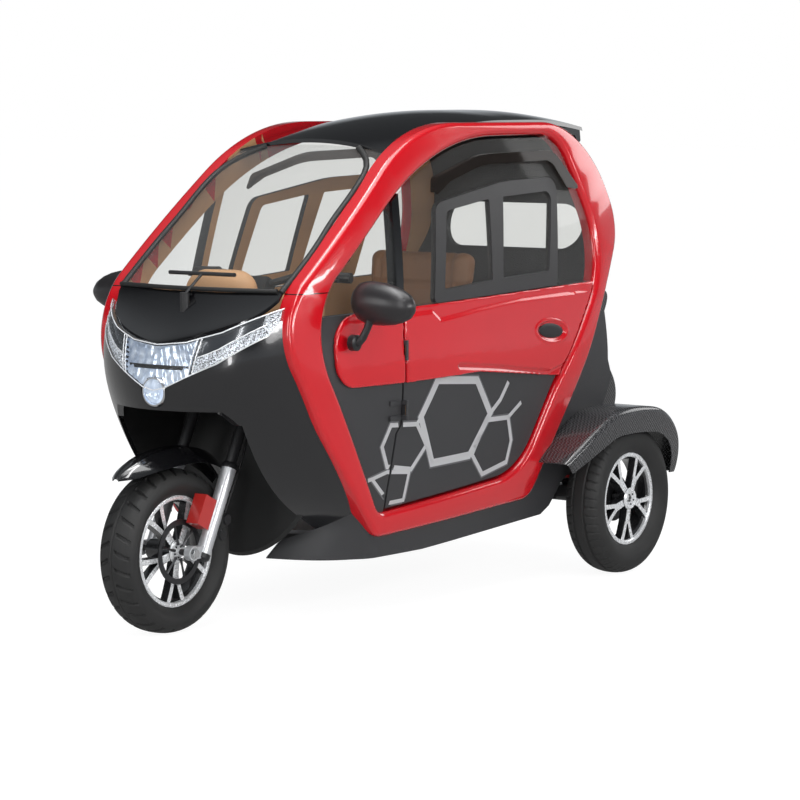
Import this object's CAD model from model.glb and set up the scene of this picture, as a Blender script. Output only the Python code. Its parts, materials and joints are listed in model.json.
import json
from math import atan2, cos, hypot, pi, radians, sin

import bmesh
import bpy
from mathutils import Matrix, Vector
from mathutils.bvhtree import BVHTree


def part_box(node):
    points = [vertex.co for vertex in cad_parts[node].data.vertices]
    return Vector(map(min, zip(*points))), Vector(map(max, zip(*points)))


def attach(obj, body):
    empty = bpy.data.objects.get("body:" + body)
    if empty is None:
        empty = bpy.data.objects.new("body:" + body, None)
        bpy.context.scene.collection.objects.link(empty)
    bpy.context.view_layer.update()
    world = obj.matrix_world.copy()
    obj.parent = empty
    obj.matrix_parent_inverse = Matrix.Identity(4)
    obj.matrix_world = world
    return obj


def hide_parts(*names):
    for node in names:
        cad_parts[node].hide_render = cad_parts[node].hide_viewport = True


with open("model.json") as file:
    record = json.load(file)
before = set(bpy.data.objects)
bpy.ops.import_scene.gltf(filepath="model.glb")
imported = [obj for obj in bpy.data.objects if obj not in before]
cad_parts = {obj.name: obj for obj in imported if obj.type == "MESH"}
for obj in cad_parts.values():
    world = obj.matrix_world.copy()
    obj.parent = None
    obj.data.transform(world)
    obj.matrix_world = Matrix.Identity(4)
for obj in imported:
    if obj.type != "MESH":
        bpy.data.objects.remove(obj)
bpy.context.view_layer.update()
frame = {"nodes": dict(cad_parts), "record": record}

# ---------------------------------------------------------------------------------------------
# Studio: a plain pale floor, a big soft light overhead, one beside the camera, a narrow one ahead
# of the nose that draws the long highlights on the lacquer, and a white surround.
# ---------------------------------------------------------------------------------------------
scene = bpy.context.scene
scene.view_settings.view_transform = "Standard"

middle = Vector((-0.2665, 0.0, 0.587))
eye_distance = 9.694
eye_turn, eye_rise = radians(35.95), radians(5.30)
eye = Vector((cos(eye_rise) * cos(eye_turn), cos(eye_rise) * sin(eye_turn), sin(eye_rise)))
camera_data = bpy.data.cameras.new("camera")
camera_data.lens = 135
camera_data.sensor_width = 36
camera = bpy.data.objects.new("camera", camera_data)
scene.collection.objects.link(camera)
camera.location = Vector((middle.x, middle.y, 0.70)) + eye * eye_distance
camera.rotation_euler = (middle - camera.location).to_track_quat("-Z", "Y").to_euler()
scene.camera = camera


def soft_lamp(name, place, aim, width, height, power):
    data = bpy.data.lights.new(name, "AREA")
    data.shape = "RECTANGLE"
    data.size, data.size_y = width, height
    data.energy = power
    lamp = bpy.data.objects.new(name, data)
    scene.collection.objects.link(lamp)
    lamp.location = place
    lamp.rotation_euler = (Vector(aim) - Vector(place)).to_track_quat("-Z", "Y").to_euler()


soft_lamp("overhead", (0.2, 0.6, 4.2), (-0.2, 0.0, 0.6), 3.4, 2.2, 85)
soft_lamp("side", (1.6, 5.0, 2.4), (-0.2, 0.0, 0.7), 3.0, 1.6, 62)
soft_lamp("nose", (5.2, -1.2, 2.2), (0.6, 0.0, 0.7), 1.4, 2.2, 42)
soft_lamp("tail", (-4.6, 1.6, 2.6), (-0.6, 0.0, 0.8), 2.2, 1.6, 30)
soft_lamp("long_strip", (0.2, 3.4, 1.75), (-0.1, 0.0, 0.75), 4.6, 0.16, 34)
soft_lamp("nose_strip", (3.6, 1.5, 2.0), (0.8, 0.0, 0.8), 0.22, 2.6, 26)
soft_lamp("roof_strip", (0.9, 0.5, 3.4), (0.2, 0.0, 1.2), 0.3, 3.4, 34)


class Field:
    """A value that changes over a surface. Arithmetic on it adds Math nodes."""

    def __init__(self, finish, socket):
        self.finish = finish
        self.socket = socket

    def math(self, operation, *values):
        return self.finish.add("ShaderNodeMath", {"operation": operation}, dict(enumerate(values)))

    def __add__(self, other):
        return self.math("ADD", self, other)

    def __radd__(self, other):
        return self.math("ADD", other, self)

    def __sub__(self, other):
        return self.math("SUBTRACT", self, other)

    def __rsub__(self, other):
        return self.math("SUBTRACT", other, self)

    def __mul__(self, other):
        return self.math("MULTIPLY", self, other)

    def __rmul__(self, other):
        return self.math("MULTIPLY", other, self)

    def __gt__(self, other):
        return self.math("GREATER_THAN", self, other)

    def __lt__(self, other):
        return self.math("LESS_THAN", self, other)

    def __abs__(self):
        return self.math("ABSOLUTE", self)

    def clipped(self):
        return self.finish.add("ShaderNodeClamp", {}, {0: self})


class Finish:
    """A procedural material that reads Object coordinates."""

    def __init__(self, name):
        self.material = bpy.data.materials.new(name)
        self.material.use_nodes = True
        self.tree = self.material.node_tree
        self.tree.nodes.clear()
        self.place = self.add("ShaderNodeTexCoord", out="Object")

    def add(self, kind, settings=None, sockets=None, out=0):
        node = self.tree.nodes.new(kind)
        for key, value in (settings or {}).items():
            if key == "stops":
                ramp = node.color_ramp
                for stop, (position, shade) in enumerate(value):
                    mark = ramp.elements[stop] if stop < 2 else ramp.elements.new(position)
                    mark.position = position
                    mark.color = (shade, shade, shade, 1)
            else:
                setattr(node, key, value)
        for key, value in (sockets or {}).items():
            if isinstance(value, Field):
                self.tree.links.new(value.socket, node.inputs[key])
            elif isinstance(value, tuple) and node.inputs[key].type == "RGBA":
                node.inputs[key].default_value = value + (1,)
            else:
                node.inputs[key].default_value = value
        return Field(self, node.outputs[out])

    def noise(self, scale, detail=2.0, stretch=(1, 1, 1)):
        where = self.add("ShaderNodeMapping", {}, {0: self.place, "Scale": stretch})
        return self.add("ShaderNodeTexNoise", {}, {"Vector": where, "Scale": scale, "Detail": detail})

    def cells(self, scale, out="Distance", stretch=(1, 1, 1)):
        where = self.add("ShaderNodeMapping", {}, {0: self.place, "Scale": stretch})
        return self.add("ShaderNodeTexVoronoi", {}, {"Vector": where, "Scale": scale}, out)

    def along(self, axis):
        return self.add("ShaderNodeSeparateXYZ", {}, {0: self.place}, out="XYZ".index(axis))

    def ramp(self, field, *stops):
        return self.add("ShaderNodeValToRGB", {"stops": stops}, {0: field})

    def mix(self, factor, first, second):
        return self.add("ShaderNodeMix", {"data_type": "RGBA"}, {0: factor, 6: first, 7: second}, out=2)

    def bump(self, height, depth, under=None):
        sockets = {"Strength": 1.0, "Distance": depth, "Height": height}
        if under is not None:
            sockets["Normal"] = under
        return self.add("ShaderNodeBump", {}, sockets)

    def shader(self, **sockets):
        names = {"base": "Base Color", "roughness": "Roughness", "metallic": "Metallic", "coat": "Coat Weight",
                 "coat_roughness": "Coat Roughness", "alpha": "Alpha", "normal": "Normal", "glow": "Emission Color",
                 "glow_strength": "Emission Strength", "ior": "IOR"}
        return self.add("ShaderNodeBsdfPrincipled", {}, {names[key]: value for key, value in sockets.items()})

    def done(self, shader):
        output = self.tree.nodes.new("ShaderNodeOutputMaterial")
        self.tree.links.new(shader.socket, output.inputs[0])
        return self.material


floor_finish = Finish("studio_floor")
ray = {name: floor_finish.add("ShaderNodeLightPath", out=name)
       for name in ("Is Camera Ray", "Is Glossy Ray", "Is Transmission Ray")}
seen = ((ray["Is Camera Ray"] + ray["Is Transmission Ray"]) * 0.80).clipped()
white_glow = floor_finish.add("ShaderNodeEmission", {}, {"Color": (1.0, 1.0, 1.0), "Strength": 1.16})
dim_glow = floor_finish.add("ShaderNodeEmission", {}, {"Color": (1.0, 1.0, 1.0), "Strength": 0.34})
matt_white = floor_finish.add("ShaderNodeBsdfDiffuse", {}, {"Color": (0.86, 0.86, 0.86)})
lit_floor = floor_finish.add("ShaderNodeMixShader", {}, {0: seen, 1: matt_white, 2: white_glow})
mirrored = floor_finish.add("ShaderNodeMixShader", {}, {0: ray["Is Glossy Ray"], 1: lit_floor, 2: dim_glow})
floor_material = floor_finish.done(mirrored)

bm = bmesh.new()
bmesh.ops.create_grid(bm, x_segments=1, y_segments=1, size=60)
floor_mesh = bpy.data.meshes.new("studio_floor")
bm.to_mesh(floor_mesh)
bm.free()
floor_mesh.materials.append(floor_material)
floor = bpy.data.objects.new("studio_floor", floor_mesh)
scene.collection.objects.link(floor)

world = bpy.data.worlds.new("surround")
scene.world = world
world.use_nodes = True
world.node_tree.nodes.clear()
sky_out = world.node_tree.nodes.new("ShaderNodeOutputWorld")
sky_lit = world.node_tree.nodes.new("ShaderNodeBackground")
sky_seen = world.node_tree.nodes.new("ShaderNodeBackground")
sky_mix = world.node_tree.nodes.new("ShaderNodeMixShader")
sky_ray = world.node_tree.nodes.new("ShaderNodeLightPath")
sky_lit.inputs[0].default_value = (0.93, 0.96, 1.0, 1)
sky_lit.inputs[1].default_value = 0.45
sky_seen.inputs[0].default_value = (1, 1, 1, 1)
either = world.node_tree.nodes.new("ShaderNodeMath")
either.operation = "MAXIMUM"
world.node_tree.links.new(sky_ray.outputs["Is Camera Ray"], either.inputs[0])
world.node_tree.links.new(sky_ray.outputs["Is Transmission Ray"], either.inputs[1])
world.node_tree.links.new(either.outputs[0], sky_mix.inputs[0])
world.node_tree.links.new(sky_lit.outputs[0], sky_mix.inputs[1])
world.node_tree.links.new(sky_seen.outputs[0], sky_mix.inputs[2])
sky_dim = world.node_tree.nodes.new("ShaderNodeBackground")
sky_dim.inputs[0].default_value = (0.9, 0.95, 1.0, 1)
sky_way = world.node_tree.nodes.new("ShaderNodeTexCoord")
sky_parts = world.node_tree.nodes.new("ShaderNodeSeparateXYZ")
sky_bands = world.node_tree.nodes.new("ShaderNodeValToRGB")
for stop, (height, shade) in enumerate(((0.0, 0.55), (0.10, 0.42), (0.22, 0.05), (0.55, 0.04), (0.80, 0.30), (1.0, 0.42))):
    mark = sky_bands.color_ramp.elements[stop] if stop < 2 else sky_bands.color_ramp.elements.new(height)
    mark.position = height
    mark.color = (shade, shade, shade, 1)
world.node_tree.links.new(sky_way.outputs["Generated"], sky_parts.inputs[0])
world.node_tree.links.new(sky_parts.outputs[2], sky_bands.inputs[0])
world.node_tree.links.new(sky_bands.outputs[0], sky_dim.inputs[1])
sky_glance = world.node_tree.nodes.new("ShaderNodeMixShader")
world.node_tree.links.new(sky_ray.outputs["Is Glossy Ray"], sky_glance.inputs[0])
world.node_tree.links.new(sky_mix.outputs[0], sky_glance.inputs[1])
world.node_tree.links.new(sky_dim.outputs[0], sky_glance.inputs[2])
world.node_tree.links.new(sky_glance.outputs[0], sky_out.inputs[0])

# ---------------------------------------------------------------------------------------------
# Frame: welded square steel tube under the floor, with the head tube that carries the fork.
# It is painted black, slightly dull, and the paint is thin enough to show the steel's texture.
# ---------------------------------------------------------------------------------------------


def painted_steel(name, colour, roughness):
    paint = Finish(name)
    worn = paint.ramp(paint.noise(22, 6), (0.35, 0.0), (0.75, 1.0))
    base = paint.mix(worn * 0.35, colour, tuple(c * 1.9 + 0.01 for c in colour))
    normal = paint.bump(paint.noise(420, 2), 0.0003)
    return paint.done(paint.shader(base=base, roughness=roughness + worn * 0.12, coat=0.2, normal=normal))


def clad(node, *materials):
    """Gives a CAD piece its materials."""
    mesh = frame["nodes"][node].data
    mesh.materials.clear()
    for material in materials:
        mesh.materials.append(material)


def cast_of(node, name, sharp=32):
    """A welded copy of a CAD piece, shaded smooth except along its sharp edges."""
    bm = bmesh.new()
    bm.from_mesh(frame["nodes"][node].data)
    bmesh.ops.remove_doubles(bm, verts=bm.verts, dist=0.00002)
    bmesh.ops.dissolve_degenerate(bm, edges=bm.edges, dist=0.000005)
    bm.normal_update()
    for face in bm.faces:
        face.smooth = True
        face.material_index = 0
    for edge in bm.edges:
        edge.smooth = len(edge.link_faces) == 2 and edge.calc_face_angle(0) < radians(sharp)
    return as_piece(bm, name)


def as_piece(bm, name):
    mesh = bpy.data.meshes.new(name)
    bm.to_mesh(mesh)
    bm.free()
    piece = bpy.data.objects.new(name, mesh)
    scene.collection.objects.link(piece)
    return piece


def fit(piece, body, materials, stands_for=()):
    """Finishes a new piece: its materials, the body that carries it and the nodes it stands for."""
    for material in materials:
        piece.data.materials.append(material)
    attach(piece, body)
    if stands_for:
        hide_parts(*stands_for)


def body_of_node(node):
    groups = frame["record"]["behaviour"]["bodies"]
    return next(body for body, members in groups.items() if node in members)


def smooth_skin(node, materials, sharp=32, inside=None):
    """Shows a CAD piece as its welded, smooth copy. Faces that look into the cabin take the second material."""
    piece = cast_of(node, node + "_skin", sharp)
    if inside is not None:
        for face in piece.data.polygons:
            if inside(face.center, face.normal):
                face.material_index = 1
    fit(piece, body_of_node(node), materials, (node,))
    return piece


black_steel = painted_steel("black_painted_steel", (0.012, 0.012, 0.013), 0.42)
smooth_skin("chassis_frame", [black_steel])

# ---------------------------------------------------------------------------------------------
# Floor pan, sills and lower panels: thick charcoal mouldings with a fine satin grain, clipped and
# screwed to the frame. Their lower edges are scuffed a little lighter.
# ---------------------------------------------------------------------------------------------


def grained_moulding(name, colour, roughness, grain=1500.0, depth=0.00012):
    skin = Finish(name)
    cloud = skin.noise(3.5, 3)
    base = skin.mix(cloud * 0.5, colour, tuple(c * 1.35 for c in colour))
    normal = skin.bump(skin.cells(grain), depth)
    return skin.done(skin.shader(base=base, roughness=roughness + cloud * 0.1, normal=normal))


charcoal = grained_moulding("charcoal_moulding", (0.030, 0.030, 0.032), 0.38)
floor_grey = grained_moulding("floor_moulding", (0.075, 0.075, 0.08), 0.6)
smooth_skin("floor_pan", [floor_grey])
smooth_skin("side_skirts", [charcoal])

rear_x = sum(corner[0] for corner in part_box("rear_left_rim")) / 2
CORNER_FROM, CORNER_TOP = rear_x + 1.250, 0.290
corner_panels = smooth_skin("corner_panels", [charcoal])
for vertex in corner_panels.data.vertices:
    low_down = min(1.0, max(0.0, (CORNER_TOP - vertex.co.z) / 0.1))
    vertex.co.x += 0.8 * low_down * max(0.0, vertex.co.x - CORNER_FROM)
WALL_FOOT, WALL_DROP, DROP_TOP = 0.264, 0.078, 0.360
housing_black = grained_moulding("housing_moulding", (0.012, 0.012, 0.012), 0.55)
wheel_housing = smooth_skin("wheel_housing", [housing_black])
for vertex in wheel_housing.data.vertices:
    if vertex.co.z < DROP_TOP and vertex.co.x < rear_x + 1.420:
        vertex.co.z -= WALL_DROP * (DROP_TOP - vertex.co.z) / (DROP_TOP - WALL_FOOT)
smooth_skin("seat_base", [floor_grey])
smooth_skin("battery_pack", [grained_moulding("battery_case", (0.05, 0.055, 0.06), 0.5)])

# ---------------------------------------------------------------------------------------------
# Side hoops: one red lacquered loop a side, hollow in section and strongly rounded, with a tan
# lining where it faces the cabin. A butt joint shows where the pillar meets the knee.
# ---------------------------------------------------------------------------------------------


def lacquer(name, colour, shade, roughness=0.22, joint=None):
    """Clear-coated paint. joint is the height of a butt joint ahead of the door, if there is one."""
    coat = Finish(name)
    cloud = coat.noise(2.4, 3)
    base = coat.mix(cloud * 0.6, colour, shade)
    peel = coat.bump(coat.noise(190, 1), 0.00012)
    if joint is not None:
        gap = (abs(coat.along("Z") - joint) < 0.0016) * (coat.along("X") > 0.4)
        base = coat.mix(gap, base, (0.01, 0.0, 0.0))
    return coat.done(coat.shader(base=base, roughness=roughness + cloud * 0.06, coat=1.0,
                                 coat_roughness=0.04, normal=peel))


def lining(name, colour):
    cloth = Finish(name)
    cloud = cloth.noise(5, 4)
    base = cloth.mix(cloud * 0.5, colour, tuple(c * 0.62 for c in colour))
    normal = cloth.bump(cloth.cells(700), 0.0002)
    return cloth.done(cloth.shader(base=base, roughness=0.55 + cloud * 0.1, normal=normal))


red = lacquer("red_lacquer", (0.50, 0.003, 0.009), (0.38, 0.002, 0.006), 0.16)
tan = lining("tan_lining", (0.55, 0.30, 0.14))


def faces_cabin(centre, normal):
    """True for a face that looks towards the middle of the cabin."""
    return normal.y * centre.y < -0.45 * abs(centre.y)


def lined(centre, normal):
    """True for a cabin face that lies under the roof and behind the windscreen."""
    back = (centre.x - rear_x) * 1000
    return faces_cabin(centre, normal) and centre.z < min(1.40, 0.97 + (1540 - back) * 0.000783)


hoop_red = lacquer("hoop_lacquer", (0.50, 0.003, 0.009), (0.38, 0.002, 0.006), 0.16, 0.998)
smooth_skin("side_hoops", [hoop_red, tan], inside=lined)

# ---------------------------------------------------------------------------------------------
# Black mouldings: roof, hood dish, nose and rear spoiler in black lacquer, clipped to the hoops,
# and the door posts with their tan lining.
# ---------------------------------------------------------------------------------------------
black = lacquer("black_lacquer", (0.0035, 0.0035, 0.004), (0.006, 0.006, 0.007), 0.10)
satin_black = grained_moulding("satin_black", (0.012, 0.012, 0.013), 0.30, grain=2200.0, depth=0.00006)
smooth_skin("roof_panel", [black])
smooth_skin("roof_spoiler", [black])
smooth_skin("hood_panel", [black])
smooth_skin("door_posts", [black, tan], inside=faces_cabin)
smooth_skin("nose_cowl", [lacquer("nose_lacquer", (0.006, 0.006, 0.007), (0.009, 0.009, 0.010), 0.16)])

# ---------------------------------------------------------------------------------------------
# Glazing: clear sheets bonded into the hoops and doors, and a smoked rain visor over each door.
# The windscreen stands in a black rubber seal, a round bead along its whole edge.
# ---------------------------------------------------------------------------------------------


def glazing(name, tint, least, most, roughness=0.02):
    """Thin glass: clear face on, and mirror-like at a glance."""
    glass = Finish(name)
    glance = glass.add("ShaderNodeLayerWeight", {}, {"Blend": 0.5}, out="Facing")
    edge = glance * glance * glance * glance
    film = glass.noise(1.6, 2)
    clear = glass.add("ShaderNodeBsdfTransparent", {}, {"Color": tint})
    sheen = glass.shader(base=tuple(0.25 * c for c in tint), roughness=roughness + film * 0.02, metallic=0.0, coat=1.0)
    share = (edge * (most - least) + least + film * 0.01).clipped()
    return glass.done(glass.add("ShaderNodeMixShader", {}, {0: share, 1: clear, 2: sheen}))


def rubber_finish(name, shade, roughness):
    skin = Finish(name)
    dust = skin.ramp(skin.noise(9, 5), (0.4, 0.0), (0.8, 1.0))
    base = skin.mix(dust * 0.4, (shade, shade, shade), (shade * 2.2, shade * 2.1, shade * 2.0))
    normal = skin.bump(skin.noise(600, 3), 0.00025)
    return skin.done(skin.shader(base=base, roughness=roughness + dust * 0.12, normal=normal))


def tube(bm, points, radius, sides=16, flat=1.0):
    """Adds a round or flattened bar along points, closed at both ends."""
    points = [Vector(p) for p in points]
    rings = []
    side = None
    for i, p in enumerate(points):
        ahead = (points[min(i + 1, len(points) - 1)] - points[max(i - 1, 0)]).normalized()
        if side is None:
            side = ahead.cross(Vector((0, 0, 1)) if abs(ahead.z) < 0.9 else Vector((1, 0, 0))).normalized()
        side = (side - ahead * side.dot(ahead)).normalized()
        up = side.cross(ahead)
        r = radius[i] if isinstance(radius, (list, tuple)) else radius
        rings.append([
            bm.verts.new(p + side * (r * cos(2 * pi * k / sides)) + up * (r * flat * sin(2 * pi * k / sides)))
            for k in range(sides)
        ])
    for first, second in zip(rings, rings[1:]):
        for k in range(sides):
            bm.faces.new((first[k], first[(k + 1) % sides], second[(k + 1) % sides], second[k]))
    bm.faces.new(list(reversed(rings[0])))
    bm.faces.new(rings[-1])


def shaded(bm, name, sharp=38):
    """Turns a finished bmesh into a piece, smooth except along sharp edges."""
    bmesh.ops.recalc_face_normals(bm, faces=bm.faces)
    for face in bm.faces:
        face.smooth = True
    for edge in bm.edges:
        edge.smooth = len(edge.link_faces) == 2 and edge.calc_face_angle(0) < radians(sharp)
    return as_piece(bm, name)


clear_glass = glazing("clear_glass", (0.98, 0.985, 0.98), 0.03, 0.8)
door_glass = glazing("door_glass", (0.92, 0.92, 0.91), 0.05, 0.8)
smoked = glazing("smoked_acrylic", (0.24, 0.20, 0.18), 0.18, 1.0)
black_rubber = rubber_finish("black_rubber", 0.010, 0.55)
smooth_skin("windscreen", [clear_glass])
smooth_skin("fixed_windows", [clear_glass])

screen_mesh = frame["nodes"]["windscreen"].data
rim_points = [v.co.copy() for v in screen_mesh.vertices]
screen_low, screen_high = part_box("windscreen")
bm = bmesh.new()
for side in (-1, 1):
    shelves = {}
    for p in rim_points:
        if p.y * side > 0:
            shelves.setdefault(round((p.z - screen_low[2]) / 0.02), []).append(p)
    line = []
    for key in sorted(shelves):
        reach = max(abs(p.y) for p in shelves[key])
        line.append(max((p for p in shelves[key] if abs(p.y) > reach - 0.004), key=lambda p: p.x + p.z))
    for _ in range(9):
        line = [line[0]] + [(a + b * 2 + c) / 4 for a, b, c in zip(line, line[1:], line[2:])] + [line[-1]]
    tube(bm, [p + Vector((0.003, -0.004 * side, 0.002)) for p in line], 0.0095, flat=0.8)
foot_line = {}
for p in rim_points:
    key = round(p.y / 0.03)
    if p.z < screen_low[2] + 0.012 and (key not in foot_line or p.x > foot_line[key].x):
        foot_line[key] = p
tube(bm, [foot_line[key] + Vector((0.002, 0, 0.006)) for key in sorted(foot_line)], 0.0085, flat=0.8)
windscreen_seal = shaded(bm, "windscreen_seal", 60)
fit(windscreen_seal, "body", [black_rubber])

# ---------------------------------------------------------------------------------------------
# Wiper: a pressed steel arm with a hinge at its boss, a bridge of claws and a rubber blade.
# ---------------------------------------------------------------------------------------------
wiper_skin = smooth_skin("wiper", [black_steel])

# ---------------------------------------------------------------------------------------------
# Doors: a charcoal inner panel with raised hexagon outlines laid over it, a red belt moulding
# with a crease, a long scooped groove and an oval recess for the handle, and a sliding window in
# a satin grey frame with rubber gaskets.
# ---------------------------------------------------------------------------------------------
def at(x, y, z):
    """A place from millimetres measured from under the rear axle."""
    return Vector((rear_x + x / 1000, y / 1000, z / 1000))


def resampled(points, spacing, closed=False):
    """The same line with points a steady distance apart."""
    ends = list(zip(points, points[1:] + points[:1])) if closed else list(zip(points, points[1:]))
    out = []
    for a, b in ends:
        a, b = Vector(a), Vector(b)
        count = max(1, round((b - a).length / spacing))
        out += [a.lerp(b, i / count) for i in range(count)]
    return out if closed else out + [Vector(points[-1])]


def tree_of(*nodes):
    """A search tree over CAD pieces, for laying something on them."""
    points, faces = [], []
    for node in nodes:
        mesh = frame["nodes"][node].data
        base = len(points)
        points += [v.co.copy() for v in mesh.vertices]
        faces += [[base + i for i in face.vertices] for face in mesh.polygons]
    return BVHTree.FromPolygons(points, faces)


def remeshed(node, name, size):
    """A copy of a CAD piece rebuilt from even small squares, with a soft edge."""
    piece = cast_of(node, name)
    blocks = piece.modifiers.new("even", "REMESH")
    blocks.mode = "VOXEL"
    blocks.voxel_size = size
    blocks.use_smooth_shade = True
    smooth = piece.modifiers.new("soft", "SMOOTH")
    smooth.factor = 0.5
    smooth.iterations = 2
    mesh = bpy.data.meshes.new_from_object(piece.evaluated_get(bpy.context.evaluated_depsgraph_get()))
    piece.modifiers.clear()
    piece.data = mesh
    return piece


def near_line(p, line):
    """How far a side-view place is from a line, in millimetres, and on which side of it."""
    best, over = 1e9, 0.0
    for (x0, z0), (x1, z1) in zip(line, line[1:]):
        dx, dz = x1 - x0, z1 - z0
        t = min(1.0, max(0.0, ((p[0] - x0) * dx + (p[1] - z0) * dz) / (dx * dx + dz * dz)))
        away = hypot(p[0] - x0 - dx * t, p[1] - z0 - dz * t)
        if away < best:
            best, over = away, (p[1] - z0) * dx - (p[0] - x0) * dz
    return best, over


CREASE = [(1395, 905), (962, 916), (927, 889), (712, 910), (486, 925), (200, 930)]
GROOVE = [(842, 746), (625, 724), (336, 686), (261, 703), (189, 762), (151, 825)]
HANDLE = (325, 838)


def soft_step(value, low, high):
    t = min(1.0, max(0.0, (value - low) / (high - low)))
    return t * t * (3 - 2 * t)


def sculpt(x, z):
    """How far the belt stands out at a side-view place, in millimetres."""
    lift = 0.0
    away, over = near_line((x, z), CREASE)
    lift += -3.2 * soft_step(away if over < 0 else -away, -6, 7) * (1 - soft_step(away, 60, 120))
    away, over = near_line((x, z), GROOVE)
    lift += -6.5 * (1 - soft_step(away, 3, 17 if over > 0 else 9)) if x < 860 else 0.0
    turn = radians(4)
    ax, az = x - HANDLE[0], z - HANDLE[1] + 20
    ax, az = ax * cos(turn) + az * sin(turn), -ax * sin(turn) + az * cos(turn)
    oval = hypot(ax / 84, az / 33)
    lift += -6.5 * (1 - soft_step(oval, 0.78, 1.02)) + 2.0 * (1 - soft_step(abs(oval - 1.1), 0.0, 0.12))
    return lift


belt_step = 0.0036
for side, way in (("left", 1), ("right", -1)):
    for node, body, reach in ((f"door_{side}_belt", f"door_{side}", 1),):
        belt = remeshed(node, node + "_skin", belt_step)
        for vertex in belt.data.vertices:
            if vertex.normal.y * way > 0.25:
                p = vertex.co
                vertex.co.y += way * sculpt((p.x - rear_x) * 1000, p.z * 1000) / 1000
        fit(belt, body, [red], (node,))
    smooth_skin(f"door_{side}_panel", [charcoal, tan], inside=faces_cabin)

    bm = bmesh.new()
    ring = []
    centre = (HANDLE[0], HANDLE[1] - 20)
    tree = tree_of(f"door_{side}_belt")
    for k in range(64):
        a = 2 * pi * k / 64
        ring.append((centre[0] + 74 * cos(a), centre[1] + 27 * sin(a) * 0.9 + 5 * cos(a)))
    rows = []
    for grow, out in ((1.0, -0.0035), (0.92, 0.0005), (0.8, 0.0015), (0.55, 0.0022), (0.25, 0.0024), (0.02, 0.0024)):
        row = []
        for x, z in ring:
            place = at(centre[0] + (x - centre[0]) * grow, way * 900, centre[1] + (z - centre[1]) * grow)
            hit = tree.ray_cast(place, Vector((0, -way, 0)))[0]
            row.append(bm.verts.new(hit + Vector((0, way * (out - 0.0045), 0))))
        rows.append(row)
    for first, second in zip(rows, rows[1:]):
        for k in range(64):
            bm.faces.new((first[k], first[(k + 1) % 64], second[(k + 1) % 64], second[k]))
    bm.faces.new(rows[-1])
    handle = shaded(bm, f"door_{side}_handle")
    fit(handle, f"door_{side}", [satin_black])

pale_line = grained_moulding("pale_line", (0.66, 0.66, 0.67), 0.35)
grey_line = grained_moulding("grey_line", (0.16, 0.16, 0.17), 0.35)
HEXAGONS = [
    ([(942, 707), (736, 691), (652, 580), (752, 457), (945, 452), (1016, 600)], True, 24),
    ([(1155, 587), (1033, 580), (981, 511), (1046, 443), (1161, 461), (1190, 524)], True, 14),
    ([(1159, 445), (1055, 435), (1073, 351), (1139, 349), (1225, 430)], True, 12),
    ([(672, 560), (549, 558), (522, 482), (540, 414), (671, 389), (735, 456)], True, 15),
    ([(1016, 600), (1033, 580)], False, 14),
    ([(981, 511), (945, 452)], False, 14),
    ([(1225, 430), (1290, 420)], False, 12),
    ([(652, 580), (600, 618), (560, 672)], False, 16),
    ([(549, 558), (480, 600)], False, 14),
]


def outline_strip(bm, tree, way, points, closed, inner, outer, lift, keep):
    """Adds a thin raised strip along a side-view line, between two distances to its right."""
    count = len(points)
    joints = []
    for i in range(count):
        here = Vector(points[i])
        ahead = Vector(points[(i + 1) % count]) - here if closed or i < count - 1 else here - Vector(points[i - 1])
        behind = here - Vector(points[i - 1]) if closed or i > 0 else ahead
        a, b = ahead.normalized(), behind.normalized()
        normal = Vector((a.y + b.y, -a.x - b.x)).normalized()
        stretch = 1 / max(0.5, normal.dot(Vector((a.y, -a.x))))
        joints.append((here + normal * inner * stretch, here + normal * outer * stretch))
    runs = list(zip(joints, joints[1:] + joints[:1])) if closed else list(zip(joints, joints[1:]))
    for (a0, b0), (a1, b1) in runs:
        cuts = max(2, round((a1 - a0).length / 10))
        last = None
        for i in range(cuts + 1):
            pair = []
            for p in (a0.lerp(a1, i / cuts), b0.lerp(b1, i / cuts)):
                hit = tree.ray_cast(at(p.x, way * 900, p.y), Vector((0, -way, 0)))[0]
                pair.append(hit)
            good = pair[0] is not None and pair[1] is not None and keep((pair[0].x - rear_x) * 1000)
            good = good and abs(pair[0].y - pair[1].y) < 0.006
            if good:
                corners = [bm.verts.new(h + Vector((0, way * lift, 0))) for h in pair]
                if last:
                    bm.faces.new((last[0], last[1], corners[1], corners[0]))
                last = corners
            else:
                last = None


for side, way in (("left", 1), ("right", -1)):
    for body, node, keep in ((f"door_{side}", f"door_{side}_panel", lambda x: x < 1140),
                             ("body", "front_side_panels", lambda x: x > 1090)):
        tree = tree_of(node)
        bm = bmesh.new()
        for points, closed, width in HEXAGONS:
            outline_strip(bm, tree, way, points, closed, -width / 2, width / 2, 0.0008, keep)
        if not bm.faces:
            bm.free()
            continue
        bmesh.ops.solidify(bm, geom=bm.faces[:], thickness=0.0006)
        art = shaded(bm, f"{side}_{body}_outlines")
        fit(art, body, [pale_line])
        bm = bmesh.new()
        for points, closed, width in HEXAGONS:
            if closed:
                outline_strip(bm, tree, way, points, closed, width / 2, width / 2 + 5, 0.0007, keep)
        if bm.faces:
            bmesh.ops.solidify(bm, geom=bm.faces[:], thickness=0.0006)
            shade_art = shaded(bm, f"{side}_{body}_inner_outlines")
            fit(shade_art, body, [grey_line])
        else:
            bm.free()

window_grey = grained_moulding("window_frame_grey", (0.022, 0.021, 0.022), 0.34)
for side in ("left", "right"):
    smooth_skin(f"door_{side}_glass", [door_glass])
    smooth_skin(f"door_{side}_window_frame", [window_grey, tan], inside=faces_cabin)
    smooth_skin(f"door_{side}_visor", [smoked])

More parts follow.
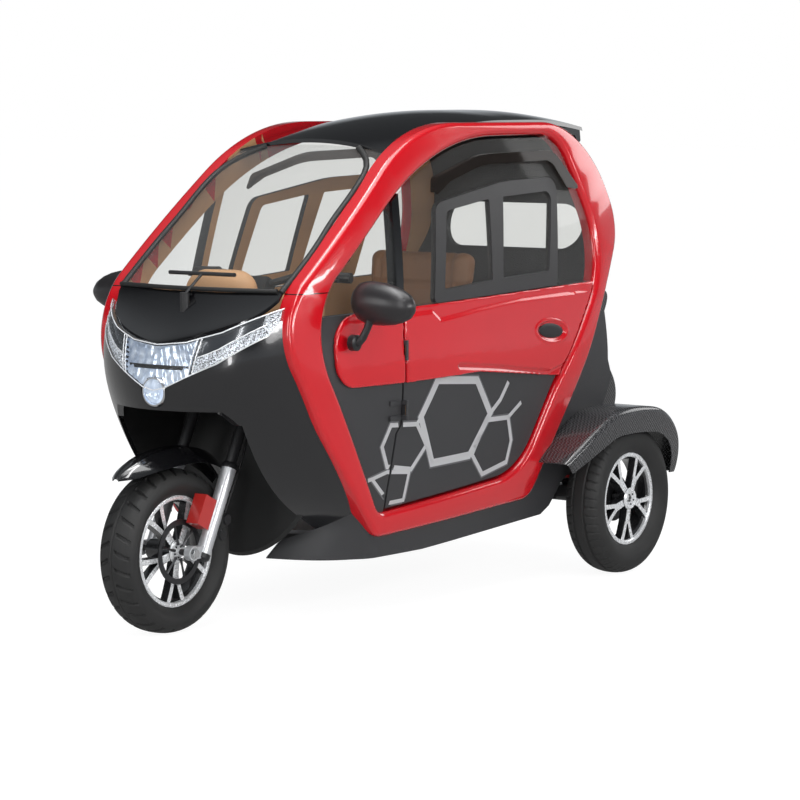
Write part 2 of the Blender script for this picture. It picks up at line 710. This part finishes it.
smooth_skin("front_side_panels", [charcoal, tan], inside=faces_cabin)
pod_step = 0.0045
pods = remeshed("mirror_pods", "mirror_pods_skin", pod_step)
for vertex in pods.data.vertices:
    way = 1 if vertex.co.y > 0 else -1
    if vertex.normal.y * way > 0.25:
        vertex.co.y += way * sculpt((vertex.co.x - rear_x) * 1000, vertex.co.z * 1000) / 1000
fit(pods, "body", [red], ("mirror_pods",))

# ---------------------------------------------------------------------------------------------
# Headlamp: one wide V of lamps under a clear cover. The middle is a fluted bright reflector, the
# wings are dark insets above a band of small chrome facets, and black ribs part them. A round
# lamp with a bright ring and a cut-glass lens sits in its point.
# ---------------------------------------------------------------------------------------------


def bright_metal(name, colour, roughness, cut=0.0, scale=300.0, metallic=1.0):
    metal = Finish(name)
    cloud = metal.noise(14, 3)
    cell = metal.cells(scale)
    base = metal.mix(cell * cut, colour, tuple(c * 0.35 for c in colour))
    normal = metal.bump(cell, 0.0001 + 0.004 * cut)
    return metal.done(metal.shader(base=base, roughness=roughness + cloud * 0.08, metallic=metallic, normal=normal))


crystal = Finish("reflector")
flute = crystal.add("ShaderNodeMath", {"operation": "PINGPONG"}, {0: crystal.along("Y") * 42, 1: 1.0})
facet = crystal.cells(38)
low_down = crystal.ramp((crystal.along("Z") - 0.70) * 7.0, (0.0, 1.0), (0.9, 0.15))
middle_of = crystal.ramp(abs(crystal.along("Y")) * 8.0, (0.0, 1.0), (1.0, 0.2))
crystal_base = crystal.mix((facet * 1.5).clipped(), (0.88, 0.92, 0.98), (0.42, 0.48, 0.58))
crystal_glow = crystal.mix((low_down * middle_of).clipped(), (0.05, 0.065, 0.09), (0.62, 0.70, 0.82))
reflector = crystal.done(crystal.shader(
    base=crystal_base, roughness=0.16, metallic=0.55, glow=crystal_glow, glow_strength=0.55,
    normal=crystal.bump(flute * 0.5 + facet, 0.003)))
glitter = Finish("lamp_speckle")
grain = glitter.ramp(glitter.cells(430, "Color"), (0.30, 0.0), (0.62, 1.0))
speckle = glitter.done(glitter.shader(
    base=glitter.mix(grain, (0.03, 0.03, 0.035), (0.92, 0.93, 0.95)), roughness=0.3, metallic=0.2,
    glow=glitter.mix(grain, (0.0, 0.0, 0.0), (0.22, 0.23, 0.25)), glow_strength=0.6,
    normal=glitter.bump(grain, 0.001)))
lamp_dark = lacquer("lamp_inset", (0.02, 0.022, 0.026), (0.05, 0.055, 0.06), 0.15)
lamp_glass = glazing("lamp_cover", (0.96, 0.98, 1.0), 0.06, 0.8)
chrome = bright_metal("chrome_trim", (0.86, 0.87, 0.88), 0.10)

V_TOP = [(0, 854), (100, 864), (200, 894), (330, 962), (420, 1020)]
V_FOOT = [(0, 716), (40, 724), (200, 800), (310, 878), (338, 940), (420, 975)]


def height_on(line, y):
    for (y0, z0), (y1, z1) in zip(line, line[1:]):
        if y <= y1:
            return z0 + (z1 - z0) * (y - y0) / (y1 - y0)
    return line[-1][1]


lamp_tree = tree_of("headlamps", "nose_cowl")
lamp_only = tree_of("headlamps")
LAMP_COLS, LAMP_ROWS = ((300, 64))
grid = []
for i in range(LAMP_COLS + 1):
    y = -345 + 690 * i / LAMP_COLS
    low, high = height_on(V_FOOT, abs(y)) + 3, height_on(V_TOP, abs(y)) - 3
    column = []
    for j in range(LAMP_ROWS + 1):
        z = low + (high - low) * j / LAMP_ROWS
        hit = lamp_only.ray_cast(at(2100, y, z), Vector((-1, 0, 0)))
        column.append((hit[0], hit[1]) if hit[0] is not None and hit[1].x > 0.2 else None)
    grid.append(column)


def lamp_layer(name, sink, slots, pick, relief):
    """A sheet behind or on the lamp's front, with its cells sorted into materials."""
    bm = bmesh.new()
    verts = {}
    for i, column in enumerate(grid):
        for j, hit in enumerate(column):
            if hit is not None:
                p, n = hit
                verts[i, j] = bm.verts.new(p - n * (sink + relief(i, j)))
    for i in range(LAMP_COLS):
        for j in range(LAMP_ROWS):
            corners = [verts.get(key) for key in ((i, j), (i + 1, j), (i + 1, j + 1), (i, j + 1))]
            if None not in corners:
                face = bm.faces.new(corners)
                face.material_index = pick(abs(i + 0.5 - LAMP_COLS / 2) / (LAMP_COLS / 2), (j + 0.5) / LAMP_ROWS)
                face.smooth = True
    bmesh.ops.recalc_face_normals(bm, faces=bm.faces)
    piece = as_piece(bm, name)
    fit(piece, "body", slots)
    return piece


def lamp_zone(u, v):
    """0 bright middle, 1 facets, 2 dark inset, 3 black rib."""
    side = 0.36 + 0.05 * v
    if abs(u - side) < 0.012 or v > 0.965 or (u > side and abs(v - 0.46 - 0.25 * max(0.0, u - 0.5)) < 0.014):
        return 3
    if u < side:
        return 0
    return 2 if v > 0.46 + 0.25 * max(0.0, u - 0.5) and u < 0.86 else 1


def lamp_relief(i, j):
    u = abs(i - LAMP_COLS / 2) / (LAMP_COLS / 2)
    v = j / LAMP_ROWS
    zone = lamp_zone(u, v)
    if zone == 0:
        return 0.0022 * abs(((u * 14 + v * 1.5) % 1.0) * 2 - 1) + 0.006 * soft_step(1 - abs(v - 0.5) * 2, 0, 0.8)
    return {1: 0.0, 2: 0.005, 3: -0.003}[zone]


lamp_layer("lamp_reflector", 0.007, [reflector, speckle, lamp_dark, black], lamp_zone, lamp_relief)

def lamp_place(i, j):
    hit = grid[max(0, min(LAMP_COLS, i))][max(0, min(LAMP_ROWS, j))]
    return None if hit is None else hit[0] - hit[1] * 0.001


bright_trim = bright_metal("lamp_trim", (0.92, 0.93, 0.95), 0.2, metallic=0.4)
bm = bmesh.new()
edges = [[lamp_place(i, 0) for i in range(LAMP_COLS + 1)], [lamp_place(i, LAMP_ROWS) for i in range(LAMP_COLS + 1)]]
for way in (-1, 1):
    for off in (-0.018, 0.018):
        edges.append([
            lamp_place(round(LAMP_COLS / 2 * (1 + way * (0.36 + off + 0.05 * j / LAMP_ROWS))), j) for j in range(LAMP_ROWS + 1)
        ])
    edges.append([
        lamp_place(round(LAMP_COLS / 2 * (1 + way * u / 100)), round(LAMP_ROWS * (0.44 + 0.25 * max(0.0, u / 100 - 0.5))))
        for u in range(42, 90, 2)
    ])
for edge in edges:
    points = [p for p in edge if p is not None]
    if len(points) > 3:
        tube(bm, points, 0.0019, 8)
fit(shaded(bm, "lamp_trims", 60), "body", [bright_trim])
lamp_cover = cast_of("headlamps", "headlamp_cover", 40)
cover_mesh = lamp_cover.data
bm = bmesh.new()
bm.from_mesh(cover_mesh)
lamp_low, lamp_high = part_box("headlamps")
doomed = [f for f in bm.faces if f.normal.x < -0.2 or (f.calc_center_median() - at(1750, 0, 714)).length < 0.055]
bmesh.ops.delete(bm, geom=doomed, context="FACES")
bm.to_mesh(cover_mesh)
bm.free()
fit(lamp_cover, "body", [lamp_glass], ("headlamps",))

LAMP_R = 0.046
lamp_face = lamp_tree.ray_cast(at(2100, 0, 700), Vector((-1, 0, 0)))[0].x
lamp_centre = Vector((lamp_face - 0.006, 0, 0.714))


def turned(profile, steps, centre, axis="Y", full=True):
    """A surface turned from (along, radius) points about an axis through centre."""
    bm = bmesh.new()
    line = []
    for along, radius in profile:
        line.append(bm.verts.new(Vector((radius, along, 0)) if axis == "Y" else Vector((along, radius, 0))))
    edges = [bm.edges.new(pair) for pair in zip(line, line[1:])]
    spin_axis = (0, 1, 0) if axis == "Y" else (1, 0, 0)
    bmesh.ops.spin(bm, geom=line + edges, cent=(0, 0, 0), axis=spin_axis, angle=2 * pi, steps=steps, use_merge=full)
    bmesh.ops.remove_doubles(bm, verts=bm.verts, dist=0.00001)
    bmesh.ops.recalc_face_normals(bm, faces=bm.faces)
    bmesh.ops.translate(bm, verts=bm.verts, vec=centre)
    return bm


ring = turned([(-0.010, 0.0445), (0.002, 0.0445), (0.006, 0.042), (0.006, 0.038), (0.0, 0.036), (-0.010, 0.035)],
              64, lamp_centre, "X")
fit(shaded(ring, "round_lamp_ring", 50), "body", [chrome])
bowl = turned([(-0.018, 0.0), (-0.016, 0.012), (-0.011, 0.024), (-0.002, 0.0355)], 24, lamp_centre, "X")
fit(as_piece(bowl, "round_lamp_bowl"), "body", [reflector])
lens_dome = turned([(0.007, 0.0), (0.0065, 0.010), (0.005, 0.020), (0.003, 0.029), (-0.001, 0.036)], 48, lamp_centre, "X")
fit(shaded(lens_dome, "round_lamp_lens", 70), "body", [lamp_glass])

# ---------------------------------------------------------------------------------------------
# Mirrors: teardrop shells on short bent arms, blunt towards the body and drawn out to the side,
# with a flat glass that faces the rear.
# ---------------------------------------------------------------------------------------------
mirror_shell = grained_moulding("mirror_shell", (0.018, 0.017, 0.018), 0.24, grain=2600.0, depth=0.00005)
mirror_glass = bright_metal("mirror_glass", (0.75, 0.78, 0.80), 0.03)
HEAD_ROWS = [(0.0, 0.12), (0.012, 0.38), (0.045, 0.66), (0.11, 0.89), (0.2, 0.99), (0.34, 1.03), (0.5, 1.0),
             (0.66, 0.91), (0.8, 0.76), (0.91, 0.56), (0.97, 0.34), (1.0, 0.08)]
mirror_low, mirror_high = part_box("mirrors")
for side, way in (("left", 1), ("right", -1)):
    bm = bmesh.new()
    rows = []
    for t, share in HEAD_ROWS:
        y = 404 + 212 * t
        row = []
        for k in range(40):
            a = 2 * pi * k / 40
            x = 1336 + 44 * share**0.9 * cos(a) - 8 * t
            z = 970 + 62 * share * sin(a) * (1.0 - 0.12 * cos(a)) - 12 * t
            row.append(bm.verts.new(at(max(x, 1336 - 30), way * y, z)))
        rows.append(row)
    for first, second in zip(rows, rows[1:]):
        for k in range(40):
            face = bm.faces.new((first[k], first[(k + 1) % 40], second[(k + 1) % 40], second[k]))
            if all(v.co.x < at(1307, 0, 0).x for v in face.verts):
                face.material_index = 1
    bm.faces.new(rows[0])
    bm.faces.new(rows[-1])
    head = shaded(bm, f"mirror_head_{side}", 50)
    fit(head, "body", [mirror_shell, mirror_glass], ("mirrors",) if way > 0 else ())
    bm = bmesh.new()
    tube(bm, [at(1364, way * 424, 850), at(1364, way * 440, 851), at(1358, way * 452, 866), at(1350, way * 462, 892),
              at(1344, way * 470, 925)], [0.0135, 0.0135, 0.012, 0.011, 0.014], 20)
    tube(bm, [at(1364, way * 416, 850), at(1364, way * 436, 850), at(1364, way * 440, 850)], [0.024, 0.024, 0.019], 32)
    fit(shaded(bm, f"mirror_arm_{side}", 40), "body", [satin_black])

# ---------------------------------------------------------------------------------------------
# Fork: telescopic legs, dark stanchions over cast silver sliders, in a black yoke, with a red
# brake caliper on the left leg and a bolt head at each clamp.
# ---------------------------------------------------------------------------------------------
slider_silver = bright_metal("cast_silver", (0.66, 0.67, 0.69), 0.30, metallic=0.7)
caliper_red = lacquer("caliper_red", (0.45, 0.02, 0.015), (0.32, 0.01, 0.01), 0.3)
steer = next(j for j in frame["record"]["behaviour"]["joints"] if j["name"] == "steering_turn")
head_foot = Vector(steer["pos_m"])
head_up = Vector(steer["axis"]).normalized()
fork_skin = cast_of("fork", "fork_skin")
for face in fork_skin.data.polygons:
    s = (face.center - head_foot).dot(head_up)
    off = (face.center - head_foot) - head_up * s
    if s < 0.262 and abs(off.y) > 0.07:
        face.material_index = 1
fit(fork_skin, "steering", [black_steel, slider_silver], ("fork",))


def on_head(s, y=0.0, ahead=0.0):
    """A place up the steering axis, in metres."""
    return head_foot + head_up * s + Vector((head_up.z, 0, -head_up.x)) * ahead + Vector((0, y, 0))


bm = bmesh.new()
for way in (-1, 1):
    leg = 0.098 * way
    tube(bm, [on_head(0.258, leg), on_head(0.270, leg), on_head(0.276, leg)], [0.0245, 0.0245, 0.020], 32)
    tube(bm, [on_head(-0.030, leg), on_head(-0.024, leg), on_head(-0.010, leg)], [0.016, 0.0225, 0.0235], 32)
    tube(bm, [on_head(0.546, leg), on_head(0.553, leg), on_head(0.556, leg)], [0.022, 0.022, 0.016], 6)
fit(shaded(bm, "fork_seals_and_caps"), "steering", [satin_black])
bm = bmesh.new()
hub_place = Vector(((sum(c[0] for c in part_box("front_rim"))) / 2, 0, sum(c[2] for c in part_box("front_rim")) / 2))
for way in (-1, 1):
    tube(bm, [hub_place + Vector((0, way * 0.108, 0)), hub_place + Vector((0, way * 0.119, 0))], 0.013, 6)
    tube(bm, [hub_place + Vector((0, way * 0.1, 0)), hub_place + Vector((0, way * 0.110, 0))], 0.018, 32)
    for s in (0.06, 0.12):
        tube(bm, [on_head(s, way * 0.098, -0.024), on_head(s, way * 0.098, -0.030)], 0.006, 6)
fit(shaded(bm, "axle_nuts"), "steering", [chrome])
smooth_skin("brake_caliper", [caliper_red])
bm = bmesh.new()
for s in (0.068, 0.116):
    tube(bm, [on_head(s, 0.105, -0.048), on_head(s, 0.1115, -0.048)], [0.017, 0.015], 24)
tube(bm, [on_head(0.135, 0.098, -0.04), on_head(0.20, 0.104, -0.035), on_head(0.30, 0.112, -0.03),
          on_head(0.42, 0.10, -0.03), on_head(0.50, 0.08, -0.03)], 0.004, 10)
fit(shaded(bm, "caliper_pistons_and_hose"), "steering", [satin_black])

# ---------------------------------------------------------------------------------------------
# Handlebar: bent tube with ribbed rubber grips, switch pods and brake levers.
# ---------------------------------------------------------------------------------------------
smooth_skin("handlebar", [black_steel])
bar_low, bar_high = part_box("handlebar")

# ---------------------------------------------------------------------------------------------
# Front fender: a thin arched shell over the tyre, drawn to a point ahead, with two raised ribs.
# ---------------------------------------------------------------------------------------------
fender_low, fender_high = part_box("front_fender")
ARCH = [(-266, 436), (-225, 482), (-170, 518), (-100, 540), (-30, 546), (50, 540), (120, 526), (180, 504), (220, 478)]
ARCH_WIDE = [0.58, 0.74, 0.88, 0.97, 1.0, 0.97, 0.86, 0.62, 0.16]
wheel_x = (hub_place.x - rear_x) * 1000


def smooth_line(points, per=8):
    """Catmull-Rom points through a list of tuples."""
    out = []
    for i in range(len(points) - 1):
        p0, p1, p2, p3 = (points[max(0, min(len(points) - 1, i + k))] for k in (-1, 0, 1, 2))
        for step in range(per):
            t = step / per
            out.append(tuple(
                0.5 * (2 * b + (c - a) * t + (2 * a - 5 * b + 4 * c - d) * t * t + (3 * b - a - 3 * c + d) * t**3)
                for a, b, c, d in zip(p0, p1, p2, p3)))
    return out + [points[-1]]


bm = bmesh.new()
rows = []
for x, z, wide in smooth_line([(x, z, w) for (x, z), w in zip(ARCH, ARCH_WIDE)], 10):
    row = []
    for k in range(41):
        across = -1 + 2 * k / 40
        bend = abs(across) ** 2.6
        ridge = 3.0 * max(0.0, 1 - abs(abs(across) - 0.34) / 0.10) + 2.0 * max(0.0, 1 - abs(across) / 0.12)
        row.append(bm.verts.new(at(wheel_x + x, 71 * wide * across, z - 44 * bend * wide + ridge * min(wide * 1.2, 1))))
    rows.append(row)
for first, second in zip(rows, rows[1:]):
    for k in range(40):
        bm.faces.new((first[k], first[k + 1], second[k + 1], second[k]))
bmesh.ops.recalc_face_normals(bm, faces=bm.faces)
bmesh.ops.solidify(bm, geom=bm.faces[:], thickness=0.003)
front_fender = shaded(bm, "front_fender_shell", 45)
fit(front_fender, "steering", [black], ("front_fender",))

# ---------------------------------------------------------------------------------------------
# Tyres: scooter tyres with a rounded crown. The front one has curved slanting grooves, the rear
# ones two grooves round the tread with short sipes between them.
# ---------------------------------------------------------------------------------------------
tyre_rubber = rubber_finish("tyre_rubber", 0.016, 0.58)


def tyre_piece(node, body, seat_r, cut):
    low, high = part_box(node)
    centre = Vector([(a + b) / 2 for a, b in zip(low, high)])
    radius, half = (high[2] - low[2]) / 2, (high[1] - low[1]) / 2
    section = [(-0.60, 0.0), (-0.66, 0.03), (-0.80, 0.14), (-0.93, 0.30), (-1.0, 0.46), (-0.985, 0.60), (-0.93, 0.72),
               (-0.80, 0.845), (-0.60, 0.93), (-0.38, 0.978), (-0.18, 0.996), (0.0, 1.0)]
    section = section + [(-a, b) for a, b in reversed(section[:-1])]
    profile = [(a * half, seat_r + b * (radius - seat_r)) for a, b in smooth_line(section, 4)]
    steps = 504
    bm = turned(profile, steps, Vector((0, 0, 0)))
    for v in bm.verts:
        r = hypot(v.co.x, v.co.z)
        share = v.co.y / half
        angle = (atan2(v.co.z, v.co.x) / (2 * pi)) % 1.0
        depth = cut(angle, share) if r > seat_r + 0.55 * (radius - seat_r) else 0.0
        if seat_r + 0.26 * (radius - seat_r) < r < seat_r + 0.30 * (radius - seat_r):
            depth = -0.0008
        if depth:
            v.co.x *= (r - depth) / r
            v.co.z *= (r - depth) / r
    bmesh.ops.translate(bm, verts=bm.verts, vec=centre)
    piece = shaded(bm, node + "_tread", 50)
    fit(piece, body, [tyre_rubber], (node,))


def slash_cut(angle, share):
    wave = (angle * 30 + 0.55 * abs(share) + (0.5 if share > 0 else 0.0)) % 1.0
    slash = 0.0060 if wave < 0.20 and 0.16 < abs(share) < 0.84 else 0.0
    return max(slash, 0.003 if abs(share) < 0.03 else 0.0)


def road_cut(angle, share):
    wave = (angle * 52 + 0.35 * abs(share)) % 1.0
    sipe = 0.003 if wave < 0.13 and 0.36 < abs(share) < 0.88 else 0.0
    return max(sipe, 0.005 if abs(abs(share) - 0.30) < 0.04 else 0.0)


tyre_piece("front_tyre", "front_wheel", 0.165, slash_cut)
tyre_piece("rear_left_tyre", "rear_left_wheel", 0.152, road_cut)
tyre_piece("rear_right_tyre", "rear_right_wheel", 0.152, road_cut)

# ---------------------------------------------------------------------------------------------
# Wheels: cast alloy, five pairs of spokes that fork towards the rim. Their outer faces and the
# rim's lip are machined bright, the rest is painted black.
# ---------------------------------------------------------------------------------------------
machined = Finish("machined_alloy")
swirl = machined.noise(60, 4, (1, 12, 1))
machined_alloy = machined.done(machined.shader(
    base=machined.mix(swirl * 0.5, (0.90, 0.91, 0.92), (0.70, 0.71, 0.73)), roughness=0.2 + swirl * 0.14,
    metallic=0.55, normal=machined.bump(swirl, 0.0001)))
wheel_black = lacquer("wheel_black", (0.010, 0.010, 0.011), (0.016, 0.016, 0.017), 0.22)


def spoke(bm, centre, way, angles, face_y, radii, wides):
    """A tapered bar: its angle in radians, radius and half width go from the first to the last value."""
    rows = []
    for i in range(9):
        t = i / 8
        r = radii[0] + (radii[1] - radii[0]) * t
        a = angles[0] + (angles[1] - angles[0]) * t**0.85
        wide = wides[0] + (wides[1] - wides[0]) * t
        y = face_y + 0.008 * max(0.0, (0.09 - r) / 0.07) ** 1.5
        out = Vector((cos(a), 0, sin(a)))
        side = Vector((-sin(a), 0, cos(a)))
        row = []
        for u, depth in ((-1.15, -0.024), (-0.92, -0.0012), (-0.80, 0.0), (0.80, 0.0), (0.92, -0.0012), (1.15, -0.024)):
            row.append(bm.verts.new(centre + out * r + side * (wide * u) + Vector((0, way * (y + depth), 0))))
        rows.append(row)
    for first, second in zip(rows, rows[1:]):
        for k in range(5):
            face = bm.faces.new((first[k], first[k + 1], second[k + 1], second[k]))
            face.material_index = 1 if k == 2 else 0
        bm.faces.new((first[5], first[0], second[0], second[5]))
    bm.faces.new(rows[0])
    bm.faces.new(rows[-1])


def rim_piece(node, body, seat_r, way, half, hub_out, hub_in):
    low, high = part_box(node)
    centre = Vector(((low[0] + high[0]) / 2, 0.0, (low[2] + high[2]) / 2))
    centre.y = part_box(node.replace("rim", "tyre"))[0][1] / 2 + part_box(node.replace("rim", "tyre"))[1][1] / 2
    outer = seat_r - 0.0004
    profile = [(-half, outer), (-half + 0.001, outer - 0.009), (-half + 0.008, outer - 0.012), (-0.012, outer - 0.022),
               (half - 0.016, outer - 0.020), (half - 0.010, outer - 0.014), (half - 0.002, outer - 0.013),
               (half + 0.001, outer - 0.010), (half + 0.0015, outer - 0.003), (half, outer), (half - 0.006, outer),
               (0.012, outer - 0.018), (-0.012, outer - 0.018), (-half + 0.006, outer), (-half, outer)]
    bm = turned([(a * way, r) for a, r in profile], 160, centre)
    for face in bm.faces:
        p = face.calc_center_median()
        if (p.y - centre.y) * way > half - 0.0105:
            face.material_index = 1
    for turn in range(5):
        mid = radians(54 + 72 * turn)
        spoke(bm, centre, way, (mid, mid), half - 0.004, (0.028, 0.084), (0.0135, 0.0165))
        for lean in (-1, 1):
            fork_foot, fork_tip = mid + lean * radians(5.5), mid + lean * radians(12.5)
            spoke(bm, centre, way, (fork_foot, fork_tip), half - 0.0042, (0.076, outer - 0.012), (0.0085, 0.0100))
    hub = turned([(a * way, r) for a, r in ((hub_in, 0.0), (hub_in, 0.030), (half - 0.02, 0.036), (half + 0.004, 0.036),
                                              (half + 0.010, 0.031), (half + 0.010, 0.026), (half + 0.007, 0.024),
                                              (half + 0.007, 0.012), (hub_out, 0.011), (hub_out, 0.0))], 64, centre)
    hub_mesh = bpy.data.meshes.new("hub")
    for face in hub.faces:
        p = face.calc_center_median()
        face.material_index = 1 if (p.y - centre.y) * way > half + 0.0035 else 0
    hub.to_mesh(hub_mesh)
    hub.free()
    bm.from_mesh(hub_mesh)
    bpy.data.meshes.remove(hub_mesh)
    for k in range(5):
        a = radians(90 + 36 + 72 * k)
        at_nut = centre + Vector((cos(a) * 0.0175, way * (half + 0.006), sin(a) * 0.0175))
        tube(bm, [at_nut, at_nut + Vector((0, way * 0.004, 0))], 0.0032, 6)
    fit(shaded(bm, node + "_cast", 34), body, [wheel_black, machined_alloy], (node,))


rim_piece("front_rim", "front_wheel", 0.165, 1, 0.0403, 0.058, -0.053)
rim_piece("rear_left_rim", "rear_left_wheel", 0.152, 1, 0.0418, 0.045, -0.004)
rim_piece("rear_right_rim", "rear_right_wheel", 0.152, -1, 0.0418, 0.045, -0.004)
disc_y = hub_place + Vector((0, 0.0523, 0))
bm = turned([(-0.0018, 0.079), (0.0018, 0.079), (0.0018, 0.096), (-0.0018, 0.096), (-0.0018, 0.079)], 96, disc_y)
for k in range(6):
    a = radians(60 * k + 15)
    out = Vector((cos(a), 0, sin(a)))
    tube(bm, [disc_y + out * 0.022, disc_y + out * 0.045, disc_y + out * 0.082], [0.005, 0.003, 0.004], 8)
fit(shaded(bm, "brake_disc"), "front_wheel", [bright_metal("disc_steel", (0.10, 0.10, 0.105), 0.32)])

# ---------------------------------------------------------------------------------------------
# Rear: rough grained tail moulding, arched fenders with a woven look under lacquer, red lamps.
# ---------------------------------------------------------------------------------------------
rear_grain = grained_moulding("rear_grain", (0.022, 0.022, 0.024), 0.55, grain=260.0, depth=0.0022)
weave = Finish("woven_lacquer")
warp = weave.add("ShaderNodeTexChecker", {}, {"Vector": weave.place, "Scale": 150.0}, out="Fac")
thread = weave.noise(700, 1)
woven = weave.done(weave.shader(
    base=weave.mix(warp, (0.012, 0.012, 0.013), (0.050, 0.050, 0.053)), roughness=0.26 + warp * 0.12, coat=0.8,
    coat_roughness=0.08, normal=weave.bump(warp * 0.5 + thread * 0.3, 0.0006)))
rear_skin = cast_of("rear_body", "rear_body_skin")
for face in rear_skin.data.polygons:
    if face.center.z < 0.925 and face.center.z > 0.36:
        face.material_index = 1
fit(rear_skin, "body", [rear_grain, woven], ("rear_body",))
REAR_ARCH = [(-291, 308), (-290, 372), (-268, 440), (-215, 500), (-140, 538), (-40, 551), (60, 551), (150, 537),
             (250, 490), (330, 441), (380, 400)]
fender_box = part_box("rear_fenders")
FENDER_EDGE = fender_box[1][1] * 1000
for way in (-1, 1):
    bm = bmesh.new()
    rows = []
    path = smooth_line(REAR_ARCH, 8)
    for i, (x, z) in enumerate(path):
        x0, z0 = path[max(0, i - 1)]
        x1, z1 = path[min(len(path) - 1, i + 1)]
        length = hypot(x1 - x0, z1 - z0)
        inward = ((z1 - z0) / length, -(x1 - x0) / length)
        t = i / (len(path) - 1)
        edge = FENDER_EDGE - 34 * abs(2 * t - 1) ** 3
        row = []
        drop = 26 + 40 * sin(pi * t)
        for k in range(33):
            s = k / 32
            turn = soft_step(s, 0.56, 0.78) * pi / 2
            y = 376 + (edge - 21 - 376) * min(1.0, s / 0.6) + 18 * sin(turn)
            roll = 18 * (1 - cos(turn)) + drop * max(0.0, s - 0.78) / 0.22
            lift = 5.0 * soft_step(s, 0.0, 0.16) - 5.0
            row.append(bm.verts.new(at(x + inward[0] * (roll - lift), way * y, z + inward[1] * (roll - lift))))
        rows.append(row)
    for first, second in zip(rows, rows[1:]):
        for k in range(32):
            bm.faces.new((first[k], first[k + 1], second[k + 1], second[k]))
    bmesh.ops.recalc_face_normals(bm, faces=bm.faces)
    bmesh.ops.solidify(bm, geom=bm.faces[:], thickness=0.0035)
    fender = shaded(bm, "rear_fender_left" if way > 0 else "rear_fender_right", 45)
    fit(fender, "body", [woven], ("rear_fenders",) if way > 0 else ())

lamp_red = Finish("tail_lamp_red")
ribs = lamp_red.add("ShaderNodeMath", {"operation": "PINGPONG"}, {0: lamp_red.along("Z") * 160, 1: 1.0})
smooth_skin("tail_lamps", [lamp_red.done(lamp_red.shader(
    base=lamp_red.mix(ribs, (0.40, 0.004, 0.004), (0.16, 0.002, 0.002)), roughness=0.12, coat=1.0,
    normal=lamp_red.bump(ribs, 0.0012)))])
smooth_skin("rear_axle", [black_steel])

# ---------------------------------------------------------------------------------------------
# Springs: red coil springs round black dampers.
# ---------------------------------------------------------------------------------------------
spring_low, spring_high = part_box("rear_springs")
bm = bmesh.new()
spring_red = painted_steel("spring_red", (0.30, 0.01, 0.01), 0.35)
for way in (-1, 1):
    foot = at(3, way * 290, 280)
    head = at(44, way * 290, 467)
    lean = (head - foot).normalized()
    side = lean.cross(Vector((0, 1, 0))).normalized()
    coil = []
    for i in range(241):
        t = i / 240
        a = 2 * pi * 6.5 * t
        coil.append(foot.lerp(head, 0.12 + 0.76 * t) + (side * cos(a) + Vector((0, 1, 0)) * sin(a)) * 0.026)
    tube(bm, coil, 0.0042, 8)
fit(shaded(bm, "spring_coils"), "body", [spring_red])
bm = bmesh.new()
for way in (-1, 1):
    foot, head = at(1, way * 290, 277), at(45, way * 290, 469)
    tube(bm, [foot, foot.lerp(head, 0.1), foot.lerp(head, 0.12), foot.lerp(head, 0.55), foot.lerp(head, 0.56),
              foot.lerp(head, 0.88), foot.lerp(head, 0.9), head],
         [0.014, 0.026, 0.015, 0.015, 0.010, 0.010, 0.026, 0.014], 24)
fit(shaded(bm, "damper_bodies"), "body", [black_steel], ("rear_springs",))

# ---------------------------------------------------------------------------------------------
# Cabin: tan dashboard with a hooded instrument, and tan leather seats with sewn channels.
# ---------------------------------------------------------------------------------------------
smooth_skin("dashboard", [tan])
leather = Finish("tan_leather")
crease = leather.cells(420)
patch = leather.noise(4, 4)
tan_leather = leather.done(leather.shader(
    base=leather.mix(patch * 0.5, (0.36, 0.17, 0.07), (0.24, 0.11, 0.045)), roughness=0.42 + patch * 0.12,
    normal=leather.bump(crease, 0.0005, leather.bump(patch, 0.002))))
thread_pale = rubber_finish("sewing_thread", 0.30, 0.6)


def stuffed(node, channels):
    """A cushion blown up from its plain block, then drawn in along its sewn channels."""
    low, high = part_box(node)
    piece = remeshed(node, node + "_cushion", 0.006)
    rest = [v.co.copy() for v in piece.data.vertices]
    cloth = piece.modifiers.new("fill", "CLOTH")
    cloth.settings.use_pressure = True
    cloth.settings.uniform_pressure_force = 4.0
    cloth.settings.quality = 3
    cloth.settings.effector_weights.gravity = 0.0
    cloth.point_cache.frame_start, cloth.point_cache.frame_end = 1, 20
    for step in range(1, 21):
        scene.frame_set(step)
    blown = piece.evaluated_get(bpy.context.evaluated_depsgraph_get())
    mesh = bpy.data.meshes.new_from_object(blown)
    piece.modifiers.clear()
    piece.data = mesh
    scene.frame_set(1)
    for v, start in zip(mesh.vertices, rest):
        move = v.co - start
        if move.length > 0.008:
            v.co = start + move * (0.008 / move.length)
    for v in piece.data.vertices:
        p = v.co
        for axis, where, depth, reach in channels:
            away = abs((p.x - rear_x) * 1000 - where) if axis == "X" else abs(p.y * 1000 - where) if axis == "Y" else (
                abs(p.z * 1000 - where))
            if away < reach:
                v.co -= v.normal * (depth / 1000) * (1 + cos(pi * away / reach)) / 2
    smooth = piece.modifiers.new("rounded", "SUBSURF")
    smooth.levels = smooth.render_levels = 1
    fit(piece, "body", [tan_leather], (node,))


low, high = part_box("driver_seat")
stuffed("driver_seat", [("X", 600, 7, 16), ("X", 690, 7, 16), ("X", 780, 7, 16), ("Y", 150, 6, 14), ("Y", -150, 6, 14)])
stuffed("driver_backrest", [("Z", 800, 7, 16), ("Z", 880, 7, 16), ("Z", 960, 7, 16), ("Y", 140, 6, 14), ("Y", -140, 6, 14)])
stuffed("bench_seat", [("Y", -160, 7, 16), ("Y", 0, 7, 16), ("Y", 160, 7, 16), ("X", 380, 6, 14)])
stuffed("bench_backrest", [("Y", -160, 7, 16), ("Y", 0, 7, 16), ("Y", 160, 7, 16), ("Z", 880, 6, 14)])
